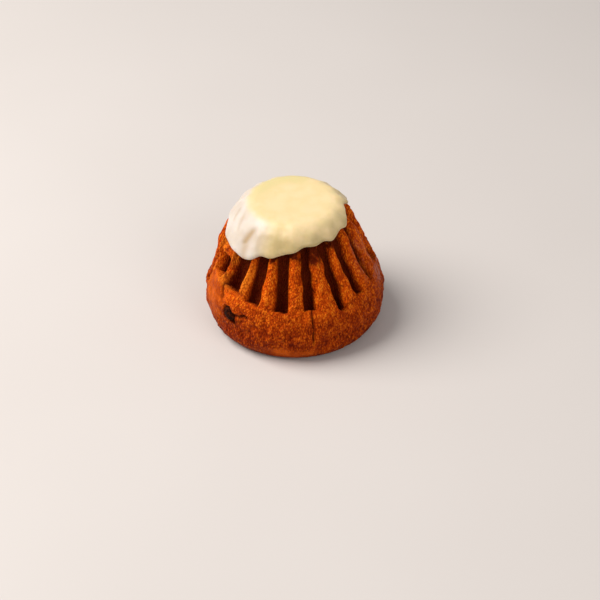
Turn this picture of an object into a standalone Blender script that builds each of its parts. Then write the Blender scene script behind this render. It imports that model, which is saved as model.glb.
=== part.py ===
"""Rum baba: a small yeast cake baked in a fluted mould, turned out on its risen crown,
soaked in syrup and capped with poured icing, with raisins in its crust.

Metres, +Z up. The origin is the middle of the foot that the cake rests on, and the front
of the cake looks along -Y. An azimuth is measured from the front towards +X.
"""

import math

import bmesh
import bpy
import numpy as np
from mathutils import Matrix, Vector

mm = 0.001
degree = math.pi / 180
TURN = 2 * math.pi

# The cake, measured over the crests of its ribs
CAKE_HEIGHT = 53.8 * mm
BELLY_RADIUS = 37.5 * mm
BELLY_HEIGHT = 13.5 * mm
FOOT_RADIUS = 31.0 * mm
CROWN_POWER = 2.5  # how squarely the crown turns under from belly to foot
TAPER = 0.465  # how fast the sides close in towards the top
TAPER_START = 3.55 * mm  # how gently the belly turns into that taper
RIM_HEIGHT = 44.5 * mm
RIM_ROUNDING = 5.0 * mm
CAKE_SWELL = 0.006  # of its radius, out and in round the cake
# How far it leans for each unit of height, to the left and to the back
LEAN = -0.018
LEAN_BACK = 0.036

# On the left the sides stand back from the crown, which overhangs them there
WAIST = 1.4 * mm
WAIST_AZIMUTH = -95 * degree
WAIST_HEIGHT = 17.0 * mm  # up to here it has its full depth
WAIST_REACH = 11.0 * mm  # and in this further height it runs out
WAIST_STEP = 1.5 * mm  # the height of the step from the ledge to the sides
# Where the sides swell out or sink in: azimuth, height, half width, half height, how far out
SWELLINGS = (
    (-103 * degree, 38.5 * mm, 42 * degree, 10.0 * mm, 1.8 * mm),
    (108 * degree, 41.0 * mm, 40 * degree, 9.0 * mm, -0.9 * mm),
)

# The flutes that the mould pressed into the sides
FLUTES = 18
FIRST_FLUTE = 11.3 * degree
# Each flute's drift from its even place, in degrees, going round from the first
FLUTE_DRIFTS = (0, 0, -3, -3, 1, -1, 1.5, 0, -1.5, 0.5, 1.5, -1, 0.5, -1, -2, 3, 0, 0)
# How far each flute's lower end is bent aside, in degrees
FLUTE_BENDS = (0, 3, 4, 1, -1, 0.5, 1, 0, -1.5, 1, 0.5, -1, 1.5, 0, -1.5, -5.5, -3, -0.8)
BEND_HEIGHT = 24.0 * mm  # up to here a bend is whole
BEND_REACH = 18.0 * mm  # and in this further height it runs out
SHORT_FLUTES = {14: 36.0 * mm}  # flutes that the crust has closed above a height
# Flutes that came out wider or narrower: how many times at the lower end, and at the top
FLUTE_WIDTHS = {
    0: (1.0, 0.7), 1: (0.8, 1.0), 14: (2.0, 1.6), 15: (1.6, 1.2), 16: (1.25, 1.0), 17: (1.2, 1.2)
}
WIDEST_MOUTH = 0.86  # of the pitch
FLOOR_HALF_WIDTH = 1.7 * mm
MOUTH_HALF_WIDTH = 2.85 * mm
FLUTE_DEPTH = 4.6 * mm
FLUTE_DEPTH_AT_TOP = 2.6 * mm
RIB_ROUNDING = 1.3 * mm
FLUTE_VARIATION = 0.12  # of each flute's width and depth
CLOSING = 2.5 * mm  # the height in which a short flute runs out

# Where the risen crown swells over the flutes' lower ends
# The height of that ledge in mm, under each flute and under the rib after it
LEDGES = (24.9, 23.6, 21.7, 23.2, 24.6, 25.0, 25.6, 26.6, 27.6, 28.2, 28.8, 28.0, 27.2, 26.7, 26.2, 26.8,
          27.4, 28.2, 29.0, 28.6, 27.4, 25.4, 22.0, 18.5, 16.2, 16.2, 16.6, 18.2, 28.4, 29.0, 26.4, 26.0,
          25.2, 24.6, 24.1, 24.4)
LEDGE_LIP = 0.25 * mm  # how far the crown stands out under each flute
POCKET_DIP = 0.75  # how far a flute's end drops behind the lip, as a share of its depth
POCKET_REACH = 7.0 * mm

# The icing
ICING_GAP = 0.3 * mm
ICING_TOP = 1.8 * mm
ICING_SIDE = 1.25 * mm
ICING_FOLD = 0.35 * mm  # how far it sinks over each flute
ICING_SCALLOP = 0.35 * mm
ICING_BEAD = 0.14  # the last share of its reach, where it rounds off
# How far it ran from the middle of the top: azimuth in degrees, length in mm
ICING_REACH = (
    (-98, 29.5), (-86, 31.5), (-74, 34.2), (-57, 34.3), (-44, 35.0), (-34, 32.6), (-24, 31.0),
    (-9, 29.3), (8, 26.7), (30, 25.9), (45, 26.1), (56, 24.2), (67, 25.2), (80, 21.4), (94, 21.2),
    (108, 25.5), (122, 28.5), (140, 30.5), (164, 30.0), (190, 32.0), (215, 32.0), (240, 30.5),
)

# The raisins: name, azimuth, height, half width, half height, half depth, standing out
RAISINS = (
    ("raisin_1", -47 * degree, 16.8 * mm, 3.4 * mm, 3.5 * mm, 2.6 * mm, 0.5 * mm),
    ("raisin_2", 163 * degree, 15.5 * mm, 3.6 * mm, 2.8 * mm, 2.5 * mm, 0.2 * mm),
)
RAISIN_GAP = 0.35 * mm
RAISIN_WRINKLE = 0.07

# How finely the surfaces are divided
FLUTE_COLUMNS = 8
FLOOR_SHARE = 0.25  # the share of a half flute's columns that its floor takes
WALL_SHARE = 0.5  # the share that its floor and wall take together
FOOT_ROWS = (0.0, 0.8 * mm, 2.8 * mm, 6.0 * mm)
CROWN_ROWS = (0.25, 0.5, 0.72, 0.9, 0.985)
POCKET_ROWS = (0.4 * mm, 2.4 * mm, 5.0 * mm)
RIB_ROWS = (0.2, 0.45, 0.7, 1.0)
RIM_ROWS = (0.45, 0.78, 0.96, 1.0)
ICING_ROWS = (-1.0, -0.5, -0.12, 0.0, 0.13, 0.26, 0.4, 0.6, 0.8, 0.92, 0.98, 1.0)
ICING_UNDERSIDE_ROWS = (-1.0, -0.12, 0.13, 0.26, 0.4, 0.6, 1.0)
RAISIN_FINENESS = 3


def start_empty():
    """Clears what was in the scene."""
    for thing in list(bpy.data.objects):
        bpy.data.objects.remove(thing, do_unlink=True)


def ease(share):
    """0 to 1, leaving and arriving gently."""
    share = min(1.0, max(0.0, share))
    return share * share * (3 - 2 * share)


def variation(flute, kind):
    """A fixed, irregular value from -1 to 1 for one flute."""
    return math.sin(flute * (2.4 + kind) + 1.7 * kind + 0.6 * math.sin(flute * 1.3))


def blended(values, phase):
    """Reads a list of values spread evenly round the cake between two of them."""
    place = phase * len(values) / FLUTES
    index = math.floor(place)
    share = ease(place - index)
    return values[index % len(values)] * (1 - share) + values[(index + 1) % len(values)] * share


def azimuth_of(phase, height):
    """The azimuth of a place counted in flutes: a whole number is a flute's middle."""
    bend = blended(FLUTE_BENDS, phase) * (1 - ease((height - BEND_HEIGHT) / BEND_REACH))
    return FIRST_FLUTE + phase * TURN / FLUTES + (blended(FLUTE_DRIFTS, phase) + bend) * degree


def crest_radius(height):
    """The radius over the ribs' crests and the crown."""
    if height < BELLY_HEIGHT:
        drop = (BELLY_HEIGHT - height) / BELLY_HEIGHT
        reach = (1 - drop**CROWN_POWER) ** (1 / CROWN_POWER)
        return FOOT_RADIUS + (BELLY_RADIUS - FOOT_RADIUS) * reach
    fall = math.hypot(TAPER_START, TAPER * (height - BELLY_HEIGHT)) - TAPER_START
    if height < RIM_HEIGHT:
        return BELLY_RADIUS - fall
    turned = min(1.0, (height - RIM_HEIGHT) / (CAKE_HEIGHT - RIM_HEIGHT))
    return BELLY_RADIUS - fall - RIM_ROUNDING * (1 - math.sqrt(1 - turned * turned))


def waist(azimuth, height):
    """How far the sides over the ledge stand back from the crest radius."""
    leftward = max(0.0, math.cos(azimuth - WAIST_AZIMUTH)) ** 2
    back = WAIST * leftward * (1 - ease((height - WAIST_HEIGHT) / WAIST_REACH))
    for middle, level, half_width, half_height, out in SWELLINGS:
        across = math.sin((azimuth - middle) / 2) / math.sin(half_width / 2)
        up = (height - level) / half_height
        back -= out * max(0.0, 1 - across * across - up * up) ** 2
    return back


def ledge_height(phase):
    """The height at which the crown covers the flutes' lower ends."""
    return blended(LEDGES, phase) * mm


def across_flute(share, flute, radius, climb):
    """How far from a flute's middle a column lies, as a share of half its pitch, and how
    much of the flute's depth it has. share is 0 in the middle and 1 on the rib's crest."""
    half_pitch = math.pi * radius / FLUTES
    usual = 1 + FLUTE_VARIATION * variation(flute, 1)
    low, high = FLUTE_WIDTHS.get(flute, (usual, usual))
    width = low + (high - low) * ease(climb)
    mouth = min(WIDEST_MOUTH, MOUTH_HALF_WIDTH * width / half_pitch)
    floor = mouth * FLOOR_HALF_WIDTH / MOUTH_HALF_WIDTH
    if share <= FLOOR_SHARE:
        return floor * share / FLOOR_SHARE, 1 - 0.08 * (share / FLOOR_SHARE) ** 2
    if share <= WALL_SHARE:
        up = (share - FLOOR_SHARE) / (WALL_SHARE - FLOOR_SHARE)
        return floor + (mouth - floor) * up, 0.92 * (1 - ease(up))
    return mouth + (1 - mouth) * (share - WALL_SHARE) / (1 - WALL_SHARE), 0.0


def cake_point(phase, height, above_ledge):
    """A point of the cake's surface. above_ledge is the height over the ledge there."""
    flute = round(phase)
    side = 1 if phase > flute else -1
    share = 2 * abs(phase - flute)
    radius = crest_radius(height)
    climb = above_ledge / (CAKE_HEIGHT - height + above_ledge)
    apart, sunk = across_flute(share, flute % FLUTES, radius, climb)
    azimuth = azimuth_of(flute + side * apart / 2, height)
    if above_ledge > 0:
        depth = FLUTE_DEPTH + (FLUTE_DEPTH_AT_TOP - FLUTE_DEPTH) * ease(climb)
        depth *= sunk * (1 + FLUTE_VARIATION * variation(flute % FLUTES, 2))
        closed = SHORT_FLUTES.get(flute % FLUTES, CAKE_HEIGHT + CLOSING)
        depth *= 1 - 0.9 * ease(1 + (height - closed) / CLOSING)
        rib = min(1.0, (1 - share) / (1 - WALL_SHARE))
        radius -= depth + RIB_ROUNDING * rib**2 * ease(0.3 + above_ledge / POCKET_REACH)
        radius -= waist(azimuth, height) * ease(above_ledge / WAIST_STEP)
        height -= POCKET_DIP * depth * (1 - ease(above_ledge / POCKET_REACH))
    else:
        nearness = math.exp(above_ledge / (4 * mm))
        radius += LEDGE_LIP * nearness * (1 - ease(share))
    return around(azimuth, radius, height)


def around(azimuth, radius, height):
    """The point at an azimuth, with the cake's lean and its uneven swelling."""
    off_foot = ease(height / BELLY_HEIGHT)
    swell = math.sin(3 * azimuth + 3.3) + 0.7 * math.sin(5 * azimuth + height / (6 * mm))
    radius *= 1 + CAKE_SWELL * swell * off_foot
    rise = (height - BELLY_HEIGHT) * off_foot
    return Vector(
        (radius * math.sin(azimuth) + LEAN * rise, LEAN_BACK * rise - radius * math.cos(azimuth), height)
    )


def cake_rows(phase):
    """The heights of the rows at a phase, each with its height over the ledge."""
    ledge = ledge_height(phase)
    top_of_ribs = RIM_HEIGHT - POCKET_ROWS[-1] - ledge
    rows = [(height, height - ledge) for height in FOOT_ROWS]
    for share in CROWN_ROWS:
        height = FOOT_ROWS[-1] + share * (ledge - FOOT_ROWS[-1])
        rows.append((height, height - ledge))
    for above in POCKET_ROWS:
        rows.append((ledge + above, above))
    for share in RIB_ROWS:
        above = POCKET_ROWS[-1] + share * top_of_ribs
        rows.append((ledge + above, above))
    for share in RIM_ROWS:
        height = RIM_HEIGHT + share * (CAKE_HEIGHT - RIM_HEIGHT)
        rows.append((height, height - ledge))
    return rows


def turned_tube(rows, columns):
    """A tube of radius 1 with its rows at heights 0, 1, 2 and so on, turned from one line
    and closed by a point at each end: each vertex is to be moved to its real place."""
    mesh = bmesh.new()
    line = [mesh.verts.new((0, -1, row)) for row in range(rows)]
    edges = [mesh.edges.new(pair) for pair in zip(line, line[1:])]
    bmesh.ops.spin(
        mesh,
        geom=line + edges,
        cent=(0, 0, 0),
        axis=(0, 0, 1),
        angle=TURN,
        steps=columns,
        use_merge=True,
    )
    return mesh


def columns_of(mesh):
    """Each vertex of a turned tube with its phase in flutes and its row."""
    for vertex in mesh.verts:
        azimuth = math.atan2(vertex.co.x, -vertex.co.y)
        column = round(azimuth / TURN * FLUTES * FLUTE_COLUMNS)
        yield vertex, column / FLUTE_COLUMNS, round(vertex.co.z)


def make_cake():
    """The cake in one closed surface, from the middle of its foot to the middle of its top."""
    between = len(cake_rows(0.0))
    mesh = turned_tube(between + 2, FLUTES * FLUTE_COLUMNS)
    for vertex, phase, row in columns_of(mesh):
        if row in (0, between + 1):
            middle = 0.0 if row == 0 else CAKE_HEIGHT
            vertex.co = around(0.0, 0.0, middle)
        else:
            height, above_ledge = cake_rows(phase)[row - 1]
            vertex.co = cake_point(phase, height, above_ledge)
    return closed_object("dough", mesh, CRUST)


def icing_path():
    """The line that the icing lies on, from the middle of the cake's top and down its ribs:
    the length along it, the radius and the height."""
    drop = np.linspace(0, 1, 240) ** 2 * (CAKE_HEIGHT - LEDGES[0] * mm)
    height = CAKE_HEIGHT - drop
    radius = np.array([crest_radius(value) for value in height])
    length = radius[0] + np.concatenate(([0], np.cumsum(np.hypot(np.diff(radius), np.diff(height)))))
    return (
        np.concatenate(([0], length)),
        np.concatenate(([0], radius)),
        np.concatenate(([CAKE_HEIGHT], height)),
    )


def smooth_round(points, azimuth):
    """A smooth closed curve through (degrees, value) points, read at an azimuth."""
    angles = [point[0] * degree for point in points]
    values = [point[1] for point in points]
    azimuth = angles[0] + (azimuth - angles[0]) % TURN
    count = len(points)
    for index in range(count):
        span = [(index + step) % count for step in (-1, 0, 1, 2)]
        turns = [(index + step) // count * TURN for step in (-1, 0, 1, 2)]
        at = [angles[place] + turn for place, turn in zip(span, turns)]
        if at[1] <= azimuth <= at[2]:
            before, start, end, after = (values[place] for place in span)
            step = at[2] - at[1]
            share = (azimuth - at[1]) / step
            leaving = (end - before) / (at[2] - at[0]) * step
            arriving = (after - start) / (at[3] - at[1]) * step
            square, cube = share**2, share**3
            return (
                (2 * cube - 3 * square + 1) * start
                + (cube - 2 * square + share) * leaving
                + (3 * square - 2 * cube) * end
                + (cube - square) * arriving
            )
    return values[0]


def icing_point(phase, share, outside, path):
    """A point of the icing. share runs from 0 over the rim to 1 at its edge."""
    lengths, radii, heights = path
    flute = round(phase)
    crest = 2 * abs(phase - flute)
    azimuth = azimuth_of(phase, RIM_HEIGHT)
    edge_length = smooth_round(ICING_REACH, azimuth) * mm
    edge_length -= ICING_SCALLOP * (1 - 2 * ease(crest))
    rim_length = lengths[1] - 2 * mm
    length = rim_length + share * (edge_length - rim_length) if share > 0 else rim_length * (1 + share)
    radius = np.interp(length, lengths, radii)
    height = np.interp(length, lengths, heights)
    nearby = 0.4 * mm
    run = np.interp(length + nearby, lengths, radii) - np.interp(length - nearby, lengths, radii)
    rise = np.interp(length + nearby, lengths, heights) - np.interp(length - nearby, lengths, heights)
    slope = math.hypot(run, rise)
    outward, upward = -rise / slope, run / slope
    azimuth = azimuth_of(phase, height)
    fold = ICING_FOLD * (1 - ease(crest)) * ease((length - rim_length) / (7 * mm))
    lift = ICING_GAP - fold
    if outside:
        down_side = ease((length - rim_length) / (6 * mm))
        thickness = ICING_TOP + (ICING_SIDE - ICING_TOP) * down_side
        bead = max(0.0, (share - 1 + ICING_BEAD) / ICING_BEAD)
        lift += thickness * math.sqrt(max(0.0, 1 - bead * bead * 0.8))
    radius += outward * lift - waist(azimuth, height)
    return around(azimuth, radius, height + upward * lift)


def make_icing():
    """The icing: down its outside to the edge, and back up its underside."""
    path = icing_path()
    rows = [(share, True) for share in ICING_ROWS]
    rows += [(share, False) for share in reversed(ICING_UNDERSIDE_ROWS)]
    mesh = turned_tube(len(rows), FLUTES * FLUTE_COLUMNS)
    for vertex, phase, row in columns_of(mesh):
        share, outside = rows[row]
        vertex.co = icing_point(phase, share, outside, path)
    return closed_object("icing", mesh, ICING)


def raisin_mesh(sizes, wrinkle):
    """An oval with the raisin's half sizes across, up and out, wrinkled or smooth."""
    mesh = bmesh.new()
    bmesh.ops.create_icosphere(mesh, subdivisions=RAISIN_FINENESS, radius=1)
    for vertex in mesh.verts:
        x, y, z = vertex.co
        creases = math.sin(7 * x + 3 * z) + math.sin(8 * z - 4 * y + 1) + math.sin(9 * y + 5 * x)
        vertex.co *= 1 + wrinkle * creases / 3
        vertex.co = Vector((vertex.co.x * sizes[0], vertex.co.y * sizes[2], vertex.co.z * sizes[1]))
    return mesh


def seat(mesh, azimuth, height, inside):
    """Turns a raisin's mesh to face out and puts its middle inside the crust."""
    middle = around(azimuth, crest_radius(height) - inside, height)
    bmesh.ops.transform(mesh, verts=mesh.verts, matrix=Matrix.Rotation(azimuth, 4, "Z"))
    bmesh.ops.translate(mesh, verts=mesh.verts, vec=middle)


def make_raisins(cake):
    """Each raisin, and the pocket that it sits in."""
    for name, azimuth, height, across, up, out, proud in RAISINS:
        sizes = (across, up, out)
        mesh = raisin_mesh(sizes, RAISIN_WRINKLE)
        seat(mesh, azimuth, height, out - proud)
        closed_object(name, mesh, RAISIN)
        grown = [size * (1 + RAISIN_WRINKLE / 2) + RAISIN_GAP for size in sizes]
        hollow = raisin_mesh(grown, 0.0)
        seat(hollow, azimuth, height, out - proud)
        cutter = closed_object(name + "_pocket", hollow, CRUST)
        cutter.hide_render = True
        cutter.display_type = "WIRE"
        cut = cake.modifiers.new(name + "_pocket", "BOOLEAN")
        cut.operation = "DIFFERENCE"
        cut.solver = "EXACT"
        cut.object = cutter


def closed_object(name, mesh, look):
    """An object from a closed mesh: doubles merged, faces out, smooth, in its material."""
    bmesh.ops.remove_doubles(mesh, verts=mesh.verts, dist=0.001 * mm)
    bmesh.ops.recalc_face_normals(mesh, faces=mesh.faces)
    bmesh.ops.triangulate(mesh, faces=mesh.faces)
    data = bpy.data.meshes.new(name)
    mesh.to_mesh(data)
    mesh.free()
    data.shade_smooth()
    data.materials.append(material(*look))
    thing = bpy.data.objects.new(name, data)
    bpy.context.scene.collection.objects.link(thing)
    return thing


def material(name, colour, roughness, metallic):
    """A Principled material, made once for each name."""
    made = bpy.data.materials.get(name)
    if made is None:
        made = bpy.data.materials.new(name)
        made.use_nodes = True
        shader = made.node_tree.nodes["Principled BSDF"]
        shader.inputs["Base Color"].default_value = colour
        shader.inputs["Roughness"].default_value = roughness
        shader.inputs["Metallic"].default_value = metallic
    return made


# Name, linear colour, roughness, metallic
CRUST = ("baked_crust", (0.30, 0.055, 0.009, 1.0), 0.45, 0.0)
ICING = ("poured_icing", (0.90, 0.78, 0.50, 1.0), 0.25, 0.0)
RAISIN = ("raisin_skin", (0.035, 0.008, 0.004, 1.0), 0.5, 0.0)

start_empty()
baked = make_cake()
make_icing()
make_raisins(baked)
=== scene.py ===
"""The looks of a rum baba: its porous, syrup-soaked crust, its raisins and its poured icing."""

import math

import bmesh
import bpy
import numpy as np
from mathutils import Matrix, Vector, noise


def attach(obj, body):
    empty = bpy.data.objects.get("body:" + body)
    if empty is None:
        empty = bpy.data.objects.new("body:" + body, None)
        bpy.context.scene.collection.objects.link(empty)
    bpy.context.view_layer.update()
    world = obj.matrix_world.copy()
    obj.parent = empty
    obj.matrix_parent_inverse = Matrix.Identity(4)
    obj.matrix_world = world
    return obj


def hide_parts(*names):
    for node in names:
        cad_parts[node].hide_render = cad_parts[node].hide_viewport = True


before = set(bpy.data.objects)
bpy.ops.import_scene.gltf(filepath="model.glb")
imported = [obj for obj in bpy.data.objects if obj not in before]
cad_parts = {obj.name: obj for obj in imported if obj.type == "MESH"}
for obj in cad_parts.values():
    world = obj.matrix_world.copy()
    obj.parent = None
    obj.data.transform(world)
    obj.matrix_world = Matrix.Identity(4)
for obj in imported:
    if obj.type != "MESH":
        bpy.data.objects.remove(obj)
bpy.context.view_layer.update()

# ---------------------------------------------------------------------------------------
# The cake: yeast dough baked in a mould with eighteen flutes and turned out upside down,
# so that its risen crown is the foot. The crown swelled over the flutes' lower ends and
# tore a little there. The crust is porous, brown and sticky with syrup.
# ---------------------------------------------------------------------------------------
mm = 0.001
degree = math.pi / 180
TURN = 2 * math.pi

# The cake, measured over the crests of its ribs. Azimuths run from the front towards +X
CAKE_HEIGHT = 53.8 * mm
BELLY_RADIUS = 37.5 * mm
BELLY_HEIGHT = 13.5 * mm
FOOT_RADIUS = 31.0 * mm
CROWN_POWER = 2.5  # how squarely the crown turns under from belly to foot
TAPER = 0.465  # how much the radius shrinks for each unit of height
TAPER_START = 3.55 * mm  # how gently the belly turns into that taper
RIM_HEIGHT = 44.5 * mm
RIM_ROUNDING = 5.0 * mm
CAKE_SWELL = 0.006  # of its radius, out and in round the cake
# How far it leans for each unit of height, to the left and to the back
LEAN = -0.018
LEAN_BACK = 0.036

# On the left the sides stand back from the crown, which overhangs them there
WAIST = 1.4 * mm
WAIST_AZIMUTH = -95 * degree
WAIST_HEIGHT = 17.0 * mm  # up to here it has its full depth
WAIST_REACH = 11.0 * mm  # and in this further height it runs out
WAIST_STEP = 1.5 * mm  # the height over the ledge in which it comes in
# Where the sides swell out or sink in: azimuth, height, half width, half height, how far out
SWELLINGS = (
    (-103 * degree, 38.5 * mm, 42 * degree, 10.0 * mm, 1.8 * mm),
    (108 * degree, 41.0 * mm, 40 * degree, 9.0 * mm, -0.9 * mm),
)

# The flutes that the mould pressed into the sides
FLUTES = 18
FIRST_FLUTE = 11.3 * degree
# Each flute's drift from its even place, in degrees, going round from the first
FLUTE_DRIFTS = (0, 0, -3, -3, 1, -1, 1.5, 0, -1.5, 0.5, 1.5, -1, 0.5, -1, -2, 3, 0, 0)
# How far each flute's lower end is bent aside, in degrees
FLUTE_BENDS = (0, 3, 4, 1, -1, 0.5, 1, 0, -1.5, 1, 0.5, -1, 1.5, 0, -1.5, -5.5, -3, -0.8)
BEND_HEIGHT = 24.0 * mm  # up to here a bend is whole
BEND_REACH = 18.0 * mm  # and in this further height it runs out
SHORT_FLUTES = {14: 36.0 * mm}  # flutes that the crust has closed above a height
# Flutes much wider or narrower than the rest, in usual widths: at the lower end, and at the top
FLUTE_WIDTHS = {
    0: (1.0, 0.7), 1: (0.8, 1.0), 14: (2.0, 1.6), 15: (1.6, 1.2), 16: (1.25, 1.0), 17: (1.2, 1.2)
}
WIDEST_MOUTH = 0.86  # of the pitch
FLOOR_HALF_WIDTH = 1.7 * mm
MOUTH_HALF_WIDTH = 2.85 * mm
FLUTE_DEPTH = 4.6 * mm
FLUTE_DEPTH_AT_TOP = 2.6 * mm
RIB_ROUNDING = 1.3 * mm  # how far a rib's edges lie behind its crest
RIB_START = 3.0 * mm  # this high over the ledge, the grain is drawn out as on a rib
FLUTE_VARIATION = 0.12  # of each flute's width and depth
FLUTE_WANDER = 0.24  # of the usual width, in and out along a flute's edges
WANDER_SIZE = 4.5 * mm
CLOSING = 2.5 * mm  # the height in which a short flute runs out
SHADE_START = 0.6 * mm  # the depth at which painted shade begins to darken a flute
SHADE_REACH = 2.4 * mm  # and the further depth in which that painted shade turns quite dark

# The ledge, where the risen crown swells over the flutes' lower ends: its height in mm, under
# each flute and under the rib after it
LEDGES = (24.9, 23.6, 21.7, 23.2, 24.6, 25.0, 25.6, 26.6, 27.6, 28.2, 28.8, 28.0, 27.2, 26.7, 26.2, 26.8,
          27.4, 28.2, 29.0, 28.6, 27.4, 25.4, 22.0, 18.5, 16.2, 16.2, 16.6, 18.2, 28.4, 29.0, 26.4, 26.0,
          25.2, 24.6, 24.1, 24.4)
LEDGE_LIP = 0.25 * mm  # how far the crown stands out under each flute
LIP_REACH = 4.0 * mm  # how far down the crown that lip runs out
LEDGE_RAGGED = 0.7 * mm  # how far the ledge's line strays up and down
POCKET_DIP = 0.75  # how far a flute's end drops behind the lip, as a share of its depth
POCKET_REACH = 7.0 * mm  # and the height over the ledge up to which it does

# The crust's own relief: the size of each kind of bump, and how far it stands out
SWELL_SIZE = 9.0 * mm
SWELL_OUT = 0.55 * mm
CLUMP_SIZE = 3.4 * mm
CLUMP_OUT = 0.32 * mm
CLUMP_OUT_WHERE_RAGGED = 0.35 * mm  # on top of that
GRAIN_SIZE = 1.5 * mm
GRAIN_OUT = 0.22 * mm
GRAIN_DRAWN_OUT = 1.6  # on a rib, clumps and grain are longer than wide by this many widths
BURNT_OUT = 0.6 * mm
CELL_SIZE = 2.3 * mm  # from one pore to the next, and from one crumb to the next
PORE_DEPTH = 0.38 * mm
CRUMB_OUT = 1.1 * mm
# The height over the foot, and that under the top, in which the relief grows
RELIEF_OVER_FOOT = 5.0 * mm
RELIEF_UNDER_TOP = 3.0 * mm

# Swellings of the crust: azimuth, height, half size, how far out
LUMPS = (
    (-64 * degree, 25.5 * mm, 5.5 * mm, 0.8 * mm),
    (-71 * degree, 38.5 * mm, 5.0 * mm, 1.1 * mm),
    (-40 * degree, 21.5 * mm, 4.0 * mm, 0.9 * mm),
    (-50 * degree, 22.4 * mm, 2.3 * mm, 1.3 * mm),
    (-63 * degree, 27.0 * mm, 3.5 * mm, 0.6 * mm),
    (-52 * degree, 11.0 * mm, 6.0 * mm, -0.5 * mm),
    (66 * degree, 20.0 * mm, 5.0 * mm, 0.5 * mm),
    (128 * degree, 23.0 * mm, 5.0 * mm, 0.7 * mm),
    (205 * degree, 12.0 * mm, 7.0 * mm, -0.5 * mm),
    (238 * degree, 24.0 * mm, 5.5 * mm, 0.8 * mm),
)
# Tears in the crust: azimuth and height of each end, half width, depth
TEARS = (
    (12.6 * degree, 8.5 * mm, 11.8 * degree, 25.5 * mm, 0.35 * mm, 0.9 * mm),
    (-3.0 * degree, 13.0 * mm, -1.5 * degree, 22.0 * mm, 0.40 * mm, 0.2 * mm),
    (-44.5 * degree, 17.6 * mm, -31.0 * degree, 19.6 * mm, 0.75 * mm, 0.9 * mm),
    (-56.5 * degree, 19.5 * mm, -58.0 * degree, 28.5 * mm, 0.60 * mm, 0.6 * mm),
    (-70.0 * degree, 9.0 * mm, -73.0 * degree, 20.0 * mm, 0.90 * mm, 0.25 * mm),
    (112.0 * degree, 10.0 * mm, 110.0 * degree, 27.0 * mm, 0.40 * mm, 0.9 * mm),
    (219.0 * degree, 14.0 * mm, 221.0 * degree, 26.5 * mm, 0.40 * mm, 0.7 * mm),
)
TEAR_WANDER = 0.9 * mm  # how far a tear strays from its line
TEAR_SHADE = 1.3 / mm  # how dark the painted shade in a tear is for its depth
# Where the ribs stuck to the mould and came out ragged: azimuth, height, half width, half height
RAGGED_PATCHES = (
    (-57 * degree, 34.0 * mm, 6.0 * mm, 9.0 * mm),
    (-72 * degree, 38.0 * mm, 6.0 * mm, 5.0 * mm),
    (-36 * degree, 14.5 * mm, 5.0 * mm, 3.5 * mm),
    (140 * degree, 33.0 * mm, 6.0 * mm, 7.0 * mm),
    (232 * degree, 36.0 * mm, 6.0 * mm, 7.0 * mm),
)
# Where the crust stayed smooth as leather: azimuth, height, half width, half height
SMOOTH_PATCHES = (
    (-68 * degree, 19.0 * mm, 11.0 * mm, 13.0 * mm),
    (150 * degree, 8.0 * mm, 12.0 * mm, 7.0 * mm),
    (-5 * degree, 4.0 * mm, 13.0 * mm, 4.0 * mm),
)
# Where the crust is a lighter gold, partly its own bake and partly painted light, mostly on the left:
# azimuth, height, half width, half height
GOLDEN_AND_LIT_PATCHES = (
    (-53 * degree, 38.0 * mm, 5.0 * mm, 5.0 * mm),
    (-40 * degree, 33.5 * mm, 5.0 * mm, 8.0 * mm),
    (-57 * degree, 28.5 * mm, 6.5 * mm, 3.0 * mm),
    (-79 * degree, 40.0 * mm, 5.0 * mm, 5.0 * mm),
    (-84 * degree, 24.0 * mm, 4.0 * mm, 6.0 * mm),
    (160 * degree, 33.0 * mm, 6.0 * mm, 8.0 * mm),
)
# Where syrup stands on the crust: azimuth, height, half width, half height
SYRUP_PATCHES = (
    (68 * degree, 34.0 * mm, 6.0 * mm, 11.0 * mm),
    (85 * degree, 24.0 * mm, 6.0 * mm, 8.0 * mm),
    (150 * degree, 21.0 * mm, 4.0 * mm, 6.0 * mm),
)
# Syrup that ran down and set: azimuth and height of each end, half width, how far it stands out
SYRUP_RUNS = (
    (69.0 * degree, 41.0 * mm, 74.0 * degree, 30.0 * mm, 0.50 * mm, 0.7 * mm),
    (66.5 * degree, 28.0 * mm, 61.0 * degree, 23.0 * mm, 0.40 * mm, 0.5 * mm),
    (70.5 * degree, 27.0 * mm, 65.0 * degree, 21.5 * mm, 0.40 * mm, 0.5 * mm),
    (-128.0 * degree, 38.0 * mm, -131.0 * degree, 27.0 * mm, 0.50 * mm, 0.6 * mm),
)
RUN_WANDER = 1.2 * mm  # how far a run strays from its line
# Where bits of crust burnt to the mould, and where thin bands just under the icing's edge hold its painted
# shadow: azimuth, height, half width, half height
BURNT_AND_SHADED_PATCHES = (
    (16 * degree, 45.8 * mm, 7.0 * mm, 5.2 * mm),
    (35 * degree, 47.6 * mm, 5.0 * mm, 3.0 * mm),
    (-4 * degree, 45.6 * mm, 7.0 * mm, 1.8 * mm),
    (-25 * degree, 43.6 * mm, 8.0 * mm, 1.8 * mm),
    (-158 * degree, 43.0 * mm, 5.0 * mm, 3.0 * mm),
)
# The raisins in it: azimuth, height, half width, half height, half depth, how far each stands out
RAISINS = {
    "raisin_1": (-47 * degree, 16.8 * mm, 3.4 * mm, 3.5 * mm, 2.6 * mm, 0.7 * mm),
    "raisin_2": (163 * degree, 15.5 * mm, 3.6 * mm, 2.8 * mm, 2.5 * mm, 0.2 * mm),
}
# The hollow that each of them sits in
HOLLOW_RIM = 0.25 * mm  # how far the crust swells round it
HOLLOW_RAGGED = 0.24  # of the raisin's size, in and out along its edge
HOLLOW_RAGGED_SIZE = 2.6 * mm

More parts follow.
